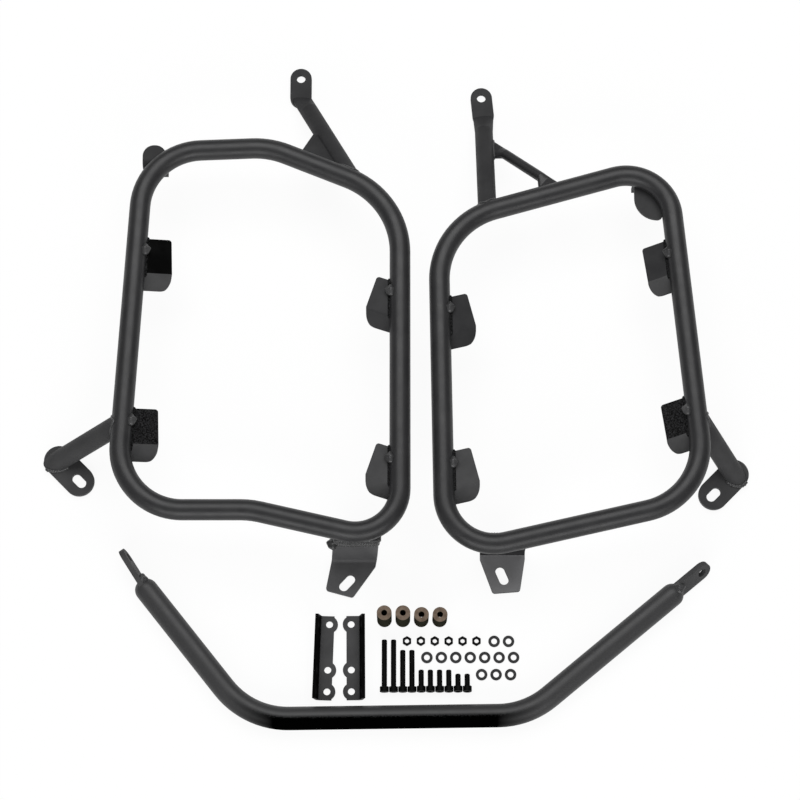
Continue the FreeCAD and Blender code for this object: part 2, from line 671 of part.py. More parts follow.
def angle_rows():
    lowest = ANGLE_LENGTH - ANGLE_LOBE_RADIUS
    return ANGLE_LOBE_RADIUS, lowest - ANGLE_LOW_PITCH, lowest


def flange_hole(row):
    bend = math.radians(ANGLE_FOLD)
    corner = V(ANGLE_WEB, row, ANGLE_THICKNESS / 2)
    rise = ANGLE_FLANGE - ANGLE_FLANGE_HOLE_EDGE
    outer = corner + V(math.cos(bend), 0, -math.sin(bend)) * rise
    normal = V(math.sin(bend), 0, math.cos(bend))
    return outer - normal * (ANGLE_THICKNESS / 2), normal


def ring(outside, inside, height, x, y):
    body = Part.makeCylinder(outside / 2, height, V(x, y, 0))
    return body.cut(Part.makeCylinder(inside / 2, height, V(x, y, 0)))


def hexagon(across, height):
    corner = across / math.sqrt(3)
    points = []
    for i in range(7):
        turn = math.radians(90 + 60 * i)
        points.append(V(corner * math.cos(turn), corner * math.sin(turn), 0))
    return Part.Face(Part.makePolygon(points)).extrude(V(0, 0, height))


def nut(x, y):
    corner = NUT_ACROSS / math.sqrt(3)
    round_body = Part.makeCylinder(corner, NUT_HEIGHT)
    rims = [edge for edge in round_body.Edges if isinstance(edge.Curve, Part.Circle)]
    body = hexagon(NUT_ACROSS, NUT_HEIGHT).common(round_body.makeChamfer(NUT_CHAMFER, rims))
    body = body.cut(Part.makeCylinder(TAP_HOLE / 2, NUT_HEIGHT))
    body.translate(V(x, y, 0))
    return largest(body)


def rim_at(body, height):
    return [edge for edge in body.Edges
            if isinstance(edge.Curve, Part.Circle) and abs(edge.Curve.Center.z - height) < 0.001]


def screw(length, x):
    head = Part.makeCylinder(HEAD_DIAMETER / 2, HEAD_HEIGHT, V(0, 0, -HEAD_HEIGHT))
    head = head.makeFillet(HEAD_EDGE, rim_at(head, -HEAD_HEIGHT))
    socket = hexagon(SOCKET_ACROSS, SOCKET_DEPTH)
    socket.translate(V(0, 0, -HEAD_HEIGHT))
    shaft = Part.makeCylinder(THREAD / 2, length)
    shaft = shaft.makeChamfer(SHAFT_CHAMFER, rim_at(shaft, length))
    body = head.cut(socket).fuse(shaft)
    body = placed(largest(body), V(0, 0, 0), V(1, 0, 0), V(0, 1, 0))
    tilt = math.atan2((HEAD_DIAMETER - THREAD) / 2, length - SHAFT_CHAMFER)
    body.rotate(V(0, 0, 0), V(1, 0, 0), -math.degrees(tilt))
    box = body.optimalBoundingBox(False, False)
    body.translate(V(x, SCREW_BASE - box.YMin, -box.ZMin))
    return body


def screw_row():
    pitch = HEAD_DIAMETER + SCREW_GAP
    nodes = {}
    x = HARDWARE_LEFT
    for kind, length, count in SCREW_ROW:
        row = []
        for i in range(count):
            row.append(screw(length, x))
            x += pitch
        nodes["%s_screws" % kind] = row
    return nodes, x - pitch + HEAD_DIAMETER / 2


def screw_tip(length):
    return SCREW_BASE + HEAD_HEIGHT + length


def loose_hardware():
    nodes, screws_right = screw_row()
    nut_half = NUT_ACROSS / math.sqrt(3)
    washer_half = WASHER_OUTSIDE / 2
    washer_pitch = WASHER_OUTSIDE + WASHER_GAP
    nut_pitch = NUT_ACROSS + NUT_GAP
    spacer_pitch = SPACER_OUTSIDE + SPACER_GAP
    screw_pitch = HEAD_DIAMETER + SCREW_GAP

    middle_y = screw_tip(SHORT_SCREW) + TIP_GAP + washer_half
    above_washers = middle_y + washer_half + ROW_GAP
    top_y = max(screw_tip(MEDIUM_SCREW) + CLEAR_GAP, above_washers) + nut_half
    above_nuts = top_y + nut_half + SPACER_ROW_GAP
    spacer_y = max(screw_tip(LONG_SCREW) + CLEAR_GAP, above_nuts) + SPACER_OUTSIDE / 2
    low_y = middle_y - WASHER_OUTSIDE - ROW_GAP

    nut_left = HARDWARE_LEFT + 2 * screw_pitch + NUT_ACROSS / 2
    nuts = [nut_left + i * nut_pitch for i in range(6)]
    nodes["hex_nuts"] = [nut(x, top_y) for x in nuts]

    top_left = nuts[-1] + NUT_ACROSS / 2 + NUT_WASHER_GAP + washer_half
    middle_left = HARDWARE_LEFT + 4 * screw_pitch + washer_half
    low_left = screws_right + LOW_WASHER_GAP + washer_half
    spots = [(top_left + i * washer_pitch, top_y) for i in range(2)]
    spots += [(middle_left + i * washer_pitch, middle_y) for i in range(7)]
    spots += [(low_left + i * washer_pitch, low_y) for i in range(3)]
    nodes["flat_washers"] = [ring(WASHER_OUTSIDE, WASHER_HOLE, WASHER_THICKNESS, x, y) for x, y in spots]

    spacers = [HARDWARE_LEFT + i * spacer_pitch for i in range(4)]
    nodes["long_spacers"] = [ring(SPACER_OUTSIDE, SPACER_HOLE, LONG_SPACER, x, spacer_y) for x in spacers[:2]]
    nodes["short_spacers"] = [ring(SPACER_OUTSIDE, SPACER_HOLE, SHORT_SPACER, x, spacer_y) for x in spacers[2:]]
    return nodes


def left_frame():
    points = [LEFT_OUTER_TOP, LEFT_TOP_BEND, LEFT_INNER_TOP]
    points += [LEFT_INNER_BOTTOM, LEFT_BOTTOM_BEND, LEFT_OUTER_BOTTOM]
    radii = [LEFT_OUTER_TOP_RADIUS, JOG_RADIUS, LEFT_INNER_TOP_RADIUS]
    radii += [LEFT_INNER_BOTTOM_RADIUS, JOG_RADIUS, LEFT_OUTER_BOTTOM_RADIUS]
    loop, tube = loop_solids(points, radii)
    root = LEFT_TOP_BEND + heading(LEFT_TOP_BEND, LEFT_INNER_TOP) * LEFT_ARM_ALONG
    start, seat, arm, arm_tube = upper_arm(root, LEFT_ARM_END, LEFT_LUG_HOLE, loop)
    outward = heading(LEFT_INNER_TOP, LEFT_TOP_BEND)
    front_root = LEFT_OUTER_TOP + heading(LEFT_OUTER_TOP, LEFT_OUTER_BOTTOM) * LEFT_FRONT_ALONG
    nodes = {
        "left_loop": [tube],
        "left_upper_arm": [arm_tube],
        "left_arm_gusset": [gusset(start, seat, outward, loop, arm)],
        "left_front_arm": [front_arm(front_root, LEFT_PLATE_SEAT, loop)],
        "left_front_arm_plate": [front_plate(LEFT_PLATE_SEAT, LEFT_PLATE_SLOT)],
        "left_upper_bracket": [left_ear(loop)],
        "left_lower_bracket": [lower_bracket(
            LEFT_FOOT_FOLD, LEFT_FOOT_LENGTH, LEFT_FOOT_TIP_SHIFT, LEFT_FOOT_TIP_SLANT, LEFT_UPRIGHT_SHIFT,
            LEFT_SLOT_OFFSET, LEFT_SLOT_ANGLE, (LEFT_BOTTOM_BEND, LEFT_INNER_BOTTOM), loop)],
    }
    outer = (LEFT_OUTER_TOP, LEFT_OUTER_BOTTOM, 1, LEFT_OUTER_TAB_TOP, LEFT_OUTER_TAB_FOLD,
             LEFT_OUTER_TAB_SLANT, OUTER_TAB_DIP, OUTER_TAB_CORNER)
    inner = (LEFT_INNER_TOP, LEFT_INNER_BOTTOM, -1, LEFT_INNER_TAB_TOP, LEFT_INNER_TAB_FOLD,
             LEFT_INNER_TAB_SLANT, INNER_TAB_DIP, INNER_TAB_CORNER)
    nodes["left_outer_upper_tab"] = [tab(outer, LEFT_OUTER_UPPER_TAB, loop)]
    nodes["left_outer_lower_tab"] = [tab(outer, LEFT_OUTER_LOWER_TAB, loop)]
    nodes["left_inner_upper_tab"] = [tab(inner, LEFT_INNER_UPPER_TAB, loop)]
    nodes["left_inner_lower_tab"] = [tab(inner, LEFT_INNER_LOWER_TAB, loop)]
    return nodes


def right_frame():
    points = [RIGHT_INNER_TOP, RIGHT_OUTER_TOP, RIGHT_OUTER_BOTTOM, RIGHT_INNER_BOTTOM]
    radii = [RIGHT_INNER_TOP_RADIUS, RIGHT_OUTER_TOP_RADIUS]
    radii += [RIGHT_OUTER_BOTTOM_RADIUS, RIGHT_INNER_BOTTOM_RADIUS]
    loop, tube = loop_solids(points, radii)
    outward = heading(RIGHT_INNER_TOP, RIGHT_OUTER_TOP)
    root = RIGHT_INNER_TOP + outward * RIGHT_ARM_ALONG
    start, seat, arm, arm_tube = upper_arm(root, RIGHT_ARM_END, RIGHT_LUG_HOLE, loop)
    front_root = RIGHT_OUTER_TOP + heading(RIGHT_OUTER_TOP, RIGHT_OUTER_BOTTOM) * RIGHT_FRONT_ALONG
    nodes = {
        "right_loop": [tube],
        "right_upper_arm": [arm_tube],
        "right_arm_strut": [strut(start, seat, outward, loop, arm)],
        "right_front_arm": [front_arm(front_root, RIGHT_PLATE_SEAT, loop)],
        "right_front_arm_plate": [front_plate(RIGHT_PLATE_SEAT, RIGHT_PLATE_SLOT)],
        "right_upper_bracket": [right_ear(loop)],
        "right_lower_bracket": [lower_bracket(
            RIGHT_FOOT_FOLD, RIGHT_FOOT_LENGTH, RIGHT_FOOT_TIP_SHIFT, RIGHT_FOOT_TIP_SLANT, RIGHT_UPRIGHT_SHIFT,
            RIGHT_SLOT_OFFSET, RIGHT_SLOT_ANGLE, (RIGHT_INNER_BOTTOM, RIGHT_OUTER_BOTTOM), loop)],
    }
    outer = (RIGHT_OUTER_TOP, RIGHT_OUTER_BOTTOM, -1, RIGHT_OUTER_TAB_TOP, RIGHT_OUTER_TAB_FOLD,
             RIGHT_OUTER_TAB_SLANT, OUTER_TAB_DIP, OUTER_TAB_CORNER)
    inner = (RIGHT_INNER_TOP, RIGHT_INNER_BOTTOM, 1, RIGHT_INNER_TAB_TOP, RIGHT_INNER_TAB_FOLD,
             RIGHT_INNER_TAB_SLANT, INNER_TAB_DIP, INNER_TAB_CORNER)
    nodes["right_outer_upper_tab"] = [tab(outer, RIGHT_OUTER_UPPER_TAB, loop)]
    nodes["right_outer_lower_tab"] = [tab(outer, RIGHT_OUTER_LOWER_TAB, loop)]
    nodes["right_inner_upper_tab"] = [tab(inner, RIGHT_INNER_UPPER_TAB, loop)]
    nodes["right_inner_lower_tab"] = [tab(inner, RIGHT_INNER_LOWER_TAB, loop)]
    return nodes


def kit():
    nodes = left_frame()
    nodes.update(right_frame())
    tube, left, right = crossbar()
    nodes["crossbar"] = [tube]
    nodes["crossbar_left_plate"] = [left]
    nodes["crossbar_right_plate"] = [right]
    nodes["left_angle_bracket"] = [angle_bracket(LEFT_ANGLE_MIDDLE, LEFT_ANGLE_TURN, -1)]
    nodes["right_angle_bracket"] = [angle_bracket(RIGHT_ANGLE_MIDDLE, RIGHT_ANGLE_TURN, 1)]
    nodes.update(loose_hardware())
    return nodes


def centred(nodes):
    everything = Part.makeCompound([shape for shapes in nodes.values() for shape in shapes])
    box = everything.optimalBoundingBox(False, False)
    shift = V(-(box.XMin + box.XMax) / 2, -(box.YMin + box.YMax) / 2, -box.ZMin)
    solids = {}
    for name, shapes in nodes.items():
        moved = []
        for shape in shapes:
            for solid in shape.Solids:
                copy = solid.copy()
                copy.translate(shift)
                moved.append(copy)
        solids[name] = moved
    return solids, shift


os.makedirs("parts", exist_ok=True)
parts, layout_shift = centred(kit())
for node_name, solids in parts.items():
    shape = solids[0] if len(solids) == 1 else Part.makeCompound(solids)
    shape.exportStep("parts/%s.step" % node_name)
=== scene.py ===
import json
import math

import bmesh
import bpy
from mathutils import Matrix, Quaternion, Vector
from mathutils.bvhtree import BVHTree


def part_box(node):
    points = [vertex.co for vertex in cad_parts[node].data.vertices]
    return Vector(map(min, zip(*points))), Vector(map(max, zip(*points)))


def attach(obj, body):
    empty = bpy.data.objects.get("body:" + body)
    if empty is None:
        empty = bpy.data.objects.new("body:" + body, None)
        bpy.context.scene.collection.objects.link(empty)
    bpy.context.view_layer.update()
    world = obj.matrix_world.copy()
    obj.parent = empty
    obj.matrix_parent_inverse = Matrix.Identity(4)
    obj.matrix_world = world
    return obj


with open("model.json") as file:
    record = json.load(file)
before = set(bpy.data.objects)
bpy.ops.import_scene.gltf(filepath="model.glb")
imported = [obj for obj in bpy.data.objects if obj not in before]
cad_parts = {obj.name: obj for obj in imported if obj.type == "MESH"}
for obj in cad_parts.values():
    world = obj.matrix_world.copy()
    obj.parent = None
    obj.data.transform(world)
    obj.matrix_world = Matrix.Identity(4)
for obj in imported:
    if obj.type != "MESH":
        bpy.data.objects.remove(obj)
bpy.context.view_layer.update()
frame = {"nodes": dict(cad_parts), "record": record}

# Camera: it looks along +Y and down at the layout (degrees and metres, with the lens in millimetres)
CAMERA_ELEVATION = 75.0
CAMERA_DISTANCE = 2.3
CAMERA_TARGET = Vector((0.003943, -0.011332, 0.0))
SENSOR_WIDTH = 36.0
LENS = 106.0

# Light: two soft boxes, each by its tilt from overhead towards +Y, its distance, width, depth and power
BACK_BOX = {"tilt": 26.0, "distance": 2.2, "width": 2.4, "depth": 1.5, "power": 42.0}
FRONT_BOX = {"tilt": -60.0, "distance": 2.4, "width": 3.0, "depth": 1.2, "power": 45.0}
FILL_LEVEL = 0.22

# Floor: it lies just below the pieces, and this share of what is seen of it is plain white
FLOOR_SIZE = 12.0
FLOOR_DROP = 0.0002
FLOOR_PAINT = 0.9
FLOOR_GLOW = 0.92

# Noise in the finishes: its cells per metre, its detail, and the stretch of its values that is used
TONE_CELLS = 60.0
GLOSS_CELLS = 90.0
SPACER_CELLS = 250.0
COARSE_GRAIN = 900.0
COAT_GRAIN = 1500.0
FINE_GRAIN = 2500.0
NOISE_DETAIL = 3.0
NOISE_LOW = 0.3
NOISE_HIGH = 0.7
TONE_LOW = 0.35
TONE_HIGH = 0.65

# Textures: lowest and highest roughness, and the cells per metre and the height (metres) of the grain
SATIN_PAINT = {"rough": (0.38, 0.46), "grain": COAT_GRAIN, "height": 0.00003}
BAR_PAINT = {"rough": (0.40, 0.48), "grain": COAT_GRAIN, "height": 0.00003}
DEEP_PAINT = {"rough": (0.4, 0.5), "grain": COAT_GRAIN, "height": 0.00003}
MATT_PAINT = {"rough": (0.5, 0.6), "grain": COAT_GRAIN, "height": 0.00002}
GRAINY_PAINT = {"rough": (0.5, 0.6), "grain": COARSE_GRAIN, "height": 0.0002}
WELD_SKIN = {"rough": (0.3, 0.4), "grain": COARSE_GRAIN, "height": 0.0002}
SCREW_STEEL = {"rough": (0.4, 0.5), "grain": FINE_GRAIN, "height": 0.00002}
SMOOTH_STEEL = {"rough": (0.4, 0.5), "grain": FINE_GRAIN, "height": 0.00001}

# Mottled finishes: texture, darkest and lightest tone, and gloss. The coats of the plates, webs, feet, tabs
# and lips, the pale coat and the deep black are lighter and darker copies of the one black coat: painted
# light and painted shade for the pieces that take them
MOTTLED_FINISHES = {
    "black_coat": (SATIN_PAINT, (0.015, 0.015, 0.016), (0.020, 0.020, 0.021), 0.36),
    "plate_coat": (MATT_PAINT, (0.027, 0.027, 0.028), (0.033, 0.033, 0.034), 0.12),
    "lit_web_coat": (MATT_PAINT, (0.038, 0.038, 0.039), (0.046, 0.046, 0.047), 0.12),
    "lit_foot_coat": (MATT_PAINT, (0.070, 0.070, 0.072), (0.084, 0.084, 0.086), 0.16),
    "lit_pale_coat": (MATT_PAINT, (0.160, 0.160, 0.163), (0.180, 0.180, 0.184), 0.16),
    "shaded_tab_coat": (MATT_PAINT, (0.024, 0.024, 0.025), (0.030, 0.030, 0.031), 0.04),
    "lit_lip_coat": (MATT_PAINT, (0.046, 0.046, 0.047), (0.056, 0.056, 0.057), 0.08),
    "deep_shade_black": (DEEP_PAINT, (0.0012, 0.0012, 0.0012), (0.0030, 0.0030, 0.0030), 0.01),
    "weld_coat": (WELD_SKIN, (0.026, 0.026, 0.027), (0.045, 0.045, 0.046), 0.5),
    "black_screw": (SCREW_STEEL, (0.0015, 0.0015, 0.0015), (0.003, 0.003, 0.003), 0.04),
    "dark_nut": (SMOOTH_STEEL, (0.0015, 0.0015, 0.0015), (0.003, 0.003, 0.003), 0.04),
    "dark_washer": (SMOOTH_STEEL, (0.022, 0.022, 0.023), (0.032, 0.032, 0.033), 0.12),
}

# Near black with pale grains: tones along the noise, and gloss; the near black is painted shade, and the
# pale grains are the coat's own sparkle
SHADE_AND_GRAIN_TONES = [(0.40, (0.001, 0.001, 0.001)), (0.68, (0.028, 0.028, 0.029))]
GRAIN_GLOSS = 0.02

# Crossbar: its tones and gloss from plain to black, and where the black lies (cosines, metres along X); the
# black is painted shade, without gloss, on the front-facing side of its middle run
BAR_SHADE_TONES = [(0.0, (0.033, 0.033, 0.034)), (1.0, (0.0004, 0.0004, 0.0004))]
BAR_SHADE_GLOSS = [(0.0, (0.30, 0.30, 0.30)), (1.0, (0.0, 0.0, 0.0))]
BAR_SHADED_SIDE = {"direction": (0.0, -0.75, 0.66), "start": 0.50, "end": 0.85}
BAR_SHADE_EDGE_GRAIN = (1.0, 1.9)
SHADED_RUN = {"centre": -0.010, "full": 0.105, "none": 0.150}

# Spacers: tones of the brown ends and of the near-black olive side; over their own brown and olive, the
# upward ends are lighter as painted light and the side near black as painted shade
SPACER_LIT_TOPS = [(TONE_LOW, (0.108, 0.080, 0.060)), (TONE_HIGH, (0.168, 0.128, 0.098))]
SPACER_SHADED_SIDES = [(TONE_LOW, (0.020, 0.020, 0.014)), (TONE_HIGH, (0.030, 0.030, 0.021))]
SPACER_LIT_FACING = {"direction": (0.0, 0.0, 1.0), "start": 0.3, "end": 0.7}
SPACER_ROUGH = (0.4, 0.55)

# Finish of a node, by the first of these endings that its name has; other nodes take their slot's own.
# These are lighter and darker copies of the black coat, which paint light and shade per piece, and the
# crossbar's painted shade
LIT_AND_SHADED_COATS_BY_ENDING = {
    "left_inner_upper_tab": "plate_coat",
    "right_inner_upper_tab": "shaded_tab_coat",
    "_tab": "lit_lip_coat",
    # Painted light: the right lower bracket is made pale, as if lit
    "right_lower_bracket": "lit_pale_coat",
    "_lower_bracket": "lit_foot_coat",
    "_angle_bracket": "lit_lip_coat",
    "_front_arm": "lit_web_coat",
    "_arm_plate": "lit_web_coat",
    "_bracket": "plate_coat",
    "_gusset": "plate_coat",
    "_arm": "plate_coat",
    "_left_plate": "lit_lip_coat",
    "_right_plate": "lit_lip_coat",
    "crossbar": "shaded_bar_coat",
}

# Painted shade on the flats of the outer tabs: near black, grainy near black and a darker copy of the coat
FLAT_SHADE_FINISHES = {
    "left_outer_upper_tab": "deep_shade_black",
    "left_outer_lower_tab": "shade_black_with_grains",
    "right_outer_upper_tab": "shaded_tab_coat",
    "right_outer_lower_tab": "shade_black_with_grains",
}

# A face of an angle bracket above this share of its height is the flange's, which is made near black as
# painted shade
SHADED_FLANGE_SHARE = 0.3

# Least cosines of a face that looks up, one that is level, two that are alike and one at a screw's end
UPWARD_COSINE = 0.5
LEVEL_COSINE = 0.95
ALIKE_COSINE = 0.999
END_COSINE = 0.9

# Thread ridges of the screws (metres), wound at the thread's radius
SCREW_NODES = ("long_screws", "medium_screws", "short_screws", "stub_screws")
THREAD_PITCH = 0.0008
THREAD_RADIUS = 0.0024
RIDGE_RADIUS = 0.00024
RIDGE_POINTS = 16

# Weld seams: the edges of one node that are sharp (degrees) and lie this near to another one (metres)
JOIN_DISTANCE = 0.000001
SEAM_REACH = 0.00035
SEAM_SHARP = 25.0
FRONT_SHARE = 0.25

# Weld beads (metres): their radii, and their steps, ripples and tapered ends
TAB_WELD = 0.0018
ARM_WELD = 0.0012
FRONT_PLATE_WELD = 0.002
BRACKET_WELD = 0.0024
GUSSET_WELD = 0.0016
STRUT_WELD = 0.0014
BEAD_STEP = 0.0007
BEAD_SIDES = 8
LEAST_STEPS = 3
ROUNDING = 1e-9
RIPPLE_LENGTH = 0.0024
RIPPLE_DEPTH = 0.14
TAPER_START = 0.4
TAPER_STEP = 0.3

# Passes of weld across the left lower bracket's upright, each this far below the loop's centre (metres)
UPPER_PASS = {"below": 0.020, "radius": 0.0045, "lump": False}
LOWER_PASS = {"below": 0.028, "radius": 0.003, "lump": True}

# Rays look for the upright from this far in front of it (metres)
RAY_START = 1.0

# Millimetres in a metre
MILLIMETRES = 1000

# Places of a side's tabs
TAB_PLACES = ("outer_upper", "outer_lower", "inner_upper", "inner_lower")

# Weld lumps (metres); a tab's lump sits this share of the way down the tab
BLOB_RADIUS = 0.0052
BLOB_SHARE = 0.27
END_BLOB_RADIUS = 0.0055
END_BLOB_RAISE = 0.03
BLOB_DETAIL = 3
BLOB_DEPTH = 0.08
BLOB_WAVES = (5.1, 6.3, 5.7)
BLOB_SHIFTS = (1.3, 0.4, 0.0)


def shader(name):
    """A new material, with its node tree and its surface shader."""
    material = bpy.data.materials.new(name)
    material.use_nodes = True
    tree = material.node_tree
    return material, tree, tree.nodes["Principled BSDF"]


def place_noise(tree, cells):
    """Noise laid through the object's own space, with this many cells per metre."""
    spot = tree.nodes.new("ShaderNodeTexCoord")
    noise = tree.nodes.new("ShaderNodeTexNoise")
    noise.inputs["Scale"].default_value = cells
    noise.inputs["Detail"].default_value = NOISE_DETAIL
    tree.links.new(spot.outputs["Object"], noise.inputs["Vector"])
    return noise.outputs["Fac"]


def ramp(tree, source, stops):
    """Colours along source, as (place, colour) pairs."""
    node = tree.nodes.new("ShaderNodeValToRGB")
    for element, (place, colour) in zip(node.color_ramp.elements, stops):
        element.position = place
        element.color = (*colour, 1.0)
    tree.links.new(source, node.inputs["Fac"])
    return node.outputs["Color"]


def map_range(tree, source, start, end, low=0.0, high=1.0):
    """source, from start to end, taken to low and high."""
    node = tree.nodes.new("ShaderNodeMapRange")
    node.inputs["From Min"].default_value = start
    node.inputs["From Max"].default_value = end
    node.inputs["To Min"].default_value = low
    node.inputs["To Max"].default_value = high
    tree.links.new(source, node.inputs["Value"])
    return node.outputs["Result"]


def spread(tree, noise, low, high):
    """Noise taken to low and high."""
    return map_range(tree, noise, NOISE_LOW, NOISE_HIGH, low, high)


def bump(tree, source, height):
    """A bump of this height in metres."""
    node = tree.nodes.new("ShaderNodeBump")
    node.inputs["Strength"].default_value = 1.0
    node.inputs["Distance"].default_value = height
    tree.links.new(source, node.inputs["Height"])
    return node.outputs["Normal"]


def product(tree, first, second):
    """Two levels multiplied, from 0 to 1."""
    node = tree.nodes.new("ShaderNodeMath")
    node.operation = "MULTIPLY"
    node.use_clamp = True
    tree.links.new(first, node.inputs[0])
    tree.links.new(second, node.inputs[1])
    return node.outputs[0]


def facing(tree, direction, start, end):
    """From 0 to 1 as the surface turns from start to end along a direction (cosines)."""
    spot = tree.nodes.new("ShaderNodeTexCoord")
    along = tree.nodes.new("ShaderNodeVectorMath")
    along.operation = "DOT_PRODUCT"
    along.inputs[1].default_value = direction
    tree.links.new(spot.outputs["Normal"], along.inputs[0])
    return map_range(tree, along.outputs["Value"], start, end)


def middle_run(tree, centre, full, none):
    """1 up to the distance full from a place along X, and 0 from the distance none."""
    spot = tree.nodes.new("ShaderNodeTexCoord")
    apart = tree.nodes.new("ShaderNodeVectorMath")
    apart.operation = "SUBTRACT"
    apart.inputs[1].default_value = (centre, 0.0, 0.0)
    tree.links.new(spot.outputs["Object"], apart.inputs[0])
    parts = tree.nodes.new("ShaderNodeSeparateXYZ")
    tree.links.new(apart.outputs["Vector"], parts.inputs["Vector"])
    distance = tree.nodes.new("ShaderNodeMath")
    distance.operation = "ABSOLUTE"
    tree.links.new(parts.outputs["X"], distance.inputs[0])
    return map_range(tree, distance.outputs[0], none, full)


def add_texture(tree, surface, rough, grain, height):
    """Patches of roughness between two levels, and a grain of this many cells per metre and this height."""
    patches = spread(tree, place_noise(tree, GLOSS_CELLS), *rough)
    tree.links.new(patches, surface.inputs["Roughness"])
    relief = bump(tree, place_noise(tree, grain), height)
    tree.links.new(relief, surface.inputs["Normal"])


def mottled_finish(name, texture, dark, light, gloss):
    """A finish of two tones in patches."""
    material, tree, surface = shader(name)
    tone = ramp(tree, place_noise(tree, TONE_CELLS), [(TONE_LOW, dark), (TONE_HIGH, light)])
    tree.links.new(tone, surface.inputs["Base Color"])
    add_texture(tree, surface, **texture)
    surface.inputs["Specular IOR Level"].default_value = gloss
    return material


def shade_black_with_grains():
    """Painted shade: near black, with the coat's own pale grains."""
    material, tree, surface = shader("shade_black_with_grains")
    tone = ramp(tree, place_noise(tree, COARSE_GRAIN), SHADE_AND_GRAIN_TONES)
    tree.links.new(tone, surface.inputs["Base Color"])
    add_texture(tree, surface, **GRAINY_PAINT)
    surface.inputs["Specular IOR Level"].default_value = GRAIN_GLOSS
    return material


def shaded_bar_coat():
    """The coat of the crossbar, with painted shade: deep black and without gloss on the front of its middle
    run, with a grainy edge.
    """
    material, tree, surface = shader("shaded_bar_coat")
    front = facing(tree, **BAR_SHADED_SIDE)
    grain = spread(tree, place_noise(tree, COARSE_GRAIN), *BAR_SHADE_EDGE_GRAIN)
    # Painted shade: near black and without gloss where the middle run faces the front
    black = product(tree, product(tree, front, grain), middle_run(tree, **SHADED_RUN))
    tree.links.new(ramp(tree, black, BAR_SHADE_TONES), surface.inputs["Base Color"])
    tree.links.new(ramp(tree, black, BAR_SHADE_GLOSS), surface.inputs["Specular IOR Level"])
    add_texture(tree, surface, **BAR_PAINT)
    return material


def spacer_finish():
    """Their own brown and olive, with the upward ends lighter as painted light and the side near black as
    painted shade.
    """
    material, tree, surface = shader("olive_spacer")
    patch = place_noise(tree, SPACER_CELLS)
    mix = tree.nodes.new("ShaderNodeMix")
    mix.data_type = "RGBA"
    # Painted light and shade: the upward ends take the lighter brown, the side the near-black olive
    tree.links.new(facing(tree, **SPACER_LIT_FACING), mix.inputs["Factor"])
    tree.links.new(ramp(tree, patch, SPACER_SHADED_SIDES), mix.inputs["A"])
    tree.links.new(ramp(tree, patch, SPACER_LIT_TOPS), mix.inputs["B"])
    tree.links.new(mix.outputs["Result"], surface.inputs["Base Color"])
    tree.links.new(spread(tree, patch, *SPACER_ROUGH), surface.inputs["Roughness"])
    surface.inputs["Specular IOR Level"].default_value = 0.0
    return material


def make_materials():
    materials = {name: mottled_finish(name, *finish) for name, finish in MOTTLED_FINISHES.items()}
    materials["shade_black_with_grains"] = shade_black_with_grains()
    materials["shaded_bar_coat"] = shaded_bar_coat()
    materials["olive_spacer"] = spacer_finish()
    return materials


def look_of(node, slot):
    """The finish of a node: the lit or shaded copy of the coat for its kind of piece, or its slot's own."""
    for ending, finish in LIT_AND_SHADED_COATS_BY_ENDING.items():
        if node.endswith(ending):
            return finish
    return slot


def marked_faces(name, faces):
    """The second finish of a node, a painted shade, and the faces that have it."""
    # Painted shade: the upward flats of the outer tabs are made near black and darker
    if name in FLAT_SHADE_FINISHES:
        up = [face for face in faces if face.normal.z > UPWARD_COSINE]
        flat = max(up, key=lambda face: face.area).normal
        return FLAT_SHADE_FINISHES[name], {face.index for face in up if face.normal.dot(flat) > ALIKE_COSINE}
    # Painted shade: the upright flange of an angle bracket is near black
    if name.endswith("_angle_bracket"):
        low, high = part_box(name)
        fold = low.z + SHADED_FLANGE_SHARE * (high.z - low.z)
        return "deep_shade_black", {face.index for face in faces if face.center.z > fold}
    # Painted shade: the faces of the right lower bracket that are not level take a darker copy of the coat
    if name == "right_lower_bracket":
        return "shaded_tab_coat", {face.index for face in faces if face.normal.z < LEVEL_COSINE}
    return "deep_shade_black", set()


def dress_nodes(materials):
    """Each node gets its finish, and its second one on the faces that have it."""
    slots = {row["node"]: row["material_slot"] for row in frame["record"]["subparts"]}
    for name, node in frame["nodes"].items():
        node.data.materials.clear()
        node.data.materials.append(materials[look_of(name, slots[name])])
        finish, marked = marked_faces(name, node.data.polygons)
        node.data.materials.append(materials[finish])
        for face in node.data.polygons:
            face.material_index = 1 if face.index in marked else 0


def add_piece(name, data, material):
    """A new piece of the object, with its finish."""
    piece = bpy.data.objects.new(name, data)
    bpy.context.collection.objects.link(piece)
    data.materials.append(material)
    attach(piece, "root")


def smooth(data):
    data.polygons.foreach_set("use_smooth", [True] * len(data.polygons))


def joined_mesh(name):
    """The node's mesh with its split corners joined."""
    mesh = bmesh.new()
    mesh.from_mesh(frame["nodes"][name].data)
    bmesh.ops.remove_doubles(mesh, verts=mesh.verts, dist=JOIN_DISTANCE)
    return mesh


def nearest(node, place):
    """The point of the node's surface nearest to a place."""
    mesh = joined_mesh(node)
    spot = BVHTree.FromBMesh(mesh).find_nearest(place)
    mesh.free()
    return spot[0]


def seam_edges(mesh, other):
    """The sharp edges of mesh that lie on the other mesh's surface."""
    surface = BVHTree.FromBMesh(other)
    near = set()
    for vert in mesh.verts:
        spot = surface.find_nearest(vert.co)
        if spot[0] is not None and spot[3] < SEAM_REACH:
            near.add(vert)
    sharp = math.radians(SEAM_SHARP)
    edges = []
    for edge in mesh.edges:
        if edge.verts[0] in near and edge.verts[1] in near and len(edge.link_faces) == 2:
            if edge.calc_face_angle() > sharp:
                edges.append(edge)
    return edges


